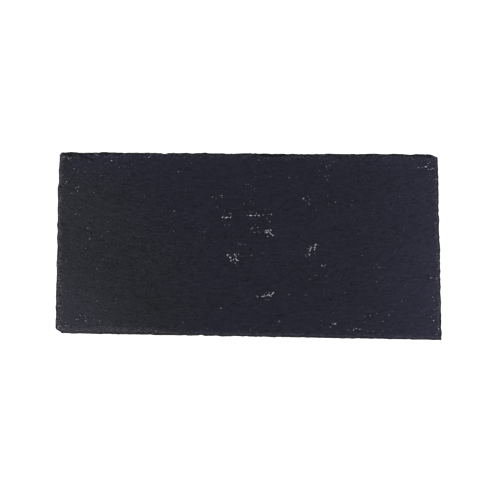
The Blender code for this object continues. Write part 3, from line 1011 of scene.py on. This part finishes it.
cracked = ramp(from_crack, *CRACK_OUTLINE, CRACK_DARKNESS, 0.0)
over_cracks = shaken_place(reckon("MULTIPLY_ADD", cracked, SHAKE_ON_CRACKS, CRACK_SHAKE))
from_pit = nearest_stroke(over_cracks, PITS)
cracked = reckon("MAXIMUM", cracked, ramp(from_pit, *CRACK_OUTLINE, PIT_DARKNESS, 0.0))
finished_colour = move("SCALE", scuffed_colour)
feed(finished_colour.node.inputs["Scale"], reckon("SUBTRACT", 1.0, cracked))

# ------------------------------------------------------------
# The surface. Bare slate is matt, the pale streaks of its grain a little less so and its powdered
# marks more. The grain stands about a tenth of a millimetre high, crushed stone is grainy, and
# the cracks are sunk.
PLAIN_ROUGHNESS = 0.70
STREAK_ROUGHNESS = -0.25
POWDER_ROUGHNESS = 0.25
RELIEF_DISTANCE = 0.00012
BAND_RELIEF = 0.9
STREAK_RELIEF = 0.55
FIBRE_RELIEF = 0.30
CRUSHED_RELIEF = 1.2
CRACK_RELIEF = -1.0
SLATE_SHINE = 0.2
feed(slate_shader.inputs["Base Color"], finished_colour)
slate_shader.inputs["Specular IOR Level"].default_value = SLATE_SHINE
streaky = reckon("SUBTRACT", streak, 0.5)
roughness = reckon("MULTIPLY_ADD", streaky, STREAK_ROUGHNESS, PLAIN_ROUGHNESS)
roughness = reckon("MULTIPLY_ADD", powder, POWDER_ROUGHNESS, roughness)
feed(slate_shader.inputs["Roughness"], roughness)

relief = reckon("MULTIPLY", band, BAND_RELIEF)
relief = reckon("MULTIPLY_ADD", streak, STREAK_RELIEF, relief)
relief = reckon("MULTIPLY_ADD", fibre, FIBRE_RELIEF, relief)
relief = reckon("MULTIPLY_ADD", reckon("MULTIPLY", crushed, speck), CRUSHED_RELIEF, relief)
relief = reckon("MULTIPLY_ADD", cracked, CRACK_RELIEF, relief)
bump = slate_nodes.new("ShaderNodeBump")
bump.inputs["Distance"].default_value = RELIEF_DISTANCE
bump.inputs["Strength"].default_value = 1.0
feed(bump.inputs["Height"], relief)
feed(slate_shader.inputs["Normal"], bump.outputs["Normal"])
slab.data.materials.append(slate)

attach(slab, "root")
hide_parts("slate_slab")

# ------------------------------------------------------------
# A white light table under the slab: an acrylic sheet lit faintly from below, so that it stays
# white and takes hardly any shadow. It is wide enough to fill every view.
FLOOR_SIZE = 12.0
ACRYLIC_WHITE = (0.90, 0.90, 0.90, 1.0)
ACRYLIC_ROUGHNESS = 0.9
ACRYLIC_SHINE = 0.1
ACRYLIC_GLOW = 0.86
floor_mesh = bpy.data.meshes.new("floor")
floor_shape = bmesh.new()
bmesh.ops.create_grid(floor_shape, x_segments=1, y_segments=1, size=FLOOR_SIZE / 2)
floor_shape.to_mesh(floor_mesh)
floor_shape.free()
floor = bpy.data.objects.new("floor", floor_mesh)
bpy.context.scene.collection.objects.link(floor)
acrylic = bpy.data.materials.new("white acrylic")
acrylic.use_nodes = True
acrylic_shader = acrylic.node_tree.nodes["Principled BSDF"]
acrylic_shader.inputs["Base Color"].default_value = ACRYLIC_WHITE
acrylic_shader.inputs["Roughness"].default_value = ACRYLIC_ROUGHNESS
acrylic_shader.inputs["Specular IOR Level"].default_value = ACRYLIC_SHINE
acrylic_shader.inputs["Emission Color"].default_value = (1.0, 1.0, 1.0, 1.0)
acrylic_shader.inputs["Emission Strength"].default_value = ACRYLIC_GLOW
floor.data.materials.append(acrylic)

# ------------------------------------------------------------
# Soft studio light: a large softbox high on each side and a weaker one in front. The room is
# white where the camera sees it, and dim where it lights the stone. Each softbox is its name,
# place, size and power.
SOFTBOXES = (
    ("left softbox", (-1.25, -0.05, 1.20), 1.0, 9.5),
    ("right softbox", (1.25, -0.05, 1.20), 1.0, 9.5),
    ("front softbox", (0.0, -1.45, 1.00), 1.0, 2.8),
)
for light_name, place, size, power in SOFTBOXES:
    lamp = bpy.data.lights.new(light_name, "AREA")
    lamp.shape = "SQUARE"
    lamp.size = size
    lamp.energy = power
    softbox = bpy.data.objects.new(light_name, lamp)
    softbox.location = place
    softbox.rotation_mode = "QUATERNION"
    softbox.rotation_quaternion = Vector(place).to_track_quat("Z", "Y")
    bpy.context.scene.collection.objects.link(softbox)

ROOM_LIGHT = 0.15
ROOM_SEEN = 1.0
world = bpy.data.worlds.new("studio")
bpy.context.scene.world = world
world.use_nodes = True
world_nodes = world.node_tree.nodes
room = world_nodes["Background"]
room.inputs["Color"].default_value = (1.0, 1.0, 1.0, 1.0)
ray = world_nodes.new("ShaderNodeLightPath")
seen = world_nodes.new("ShaderNodeMapRange")
seen.inputs["To Min"].default_value = ROOM_LIGHT
seen.inputs["To Max"].default_value = ROOM_SEEN
world.node_tree.links.new(ray.outputs["Is Camera Ray"], seen.inputs["Value"])
world.node_tree.links.new(seen.outputs["Result"], room.inputs["Strength"])
bpy.context.scene.view_settings.view_transform = "Standard"

# ------------------------------------------------------------
# The camera looks almost straight down from a little in front of the slab.
CAMERA_AIM = Vector((0.00165, -0.00508, 0.0020))
CAMERA_DISTANCE = 0.9847
CAMERA_ELEVATION = math.radians(84.0)
CAMERA_LENS = 67.75
SENSOR_WIDTH = 36.0
camera_data = bpy.data.cameras.new("camera")
camera_data.sensor_width = SENSOR_WIDTH
camera_data.lens = CAMERA_LENS
camera = bpy.data.objects.new("camera", camera_data)
to_camera = Vector((0.0, -math.cos(CAMERA_ELEVATION), math.sin(CAMERA_ELEVATION)))
camera.location = CAMERA_AIM + to_camera * CAMERA_DISTANCE
camera.rotation_mode = "QUATERNION"
camera.rotation_quaternion = to_camera.to_track_quat("Z", "Y")
bpy.context.scene.collection.objects.link(camera)
bpy.context.scene.camera = camera
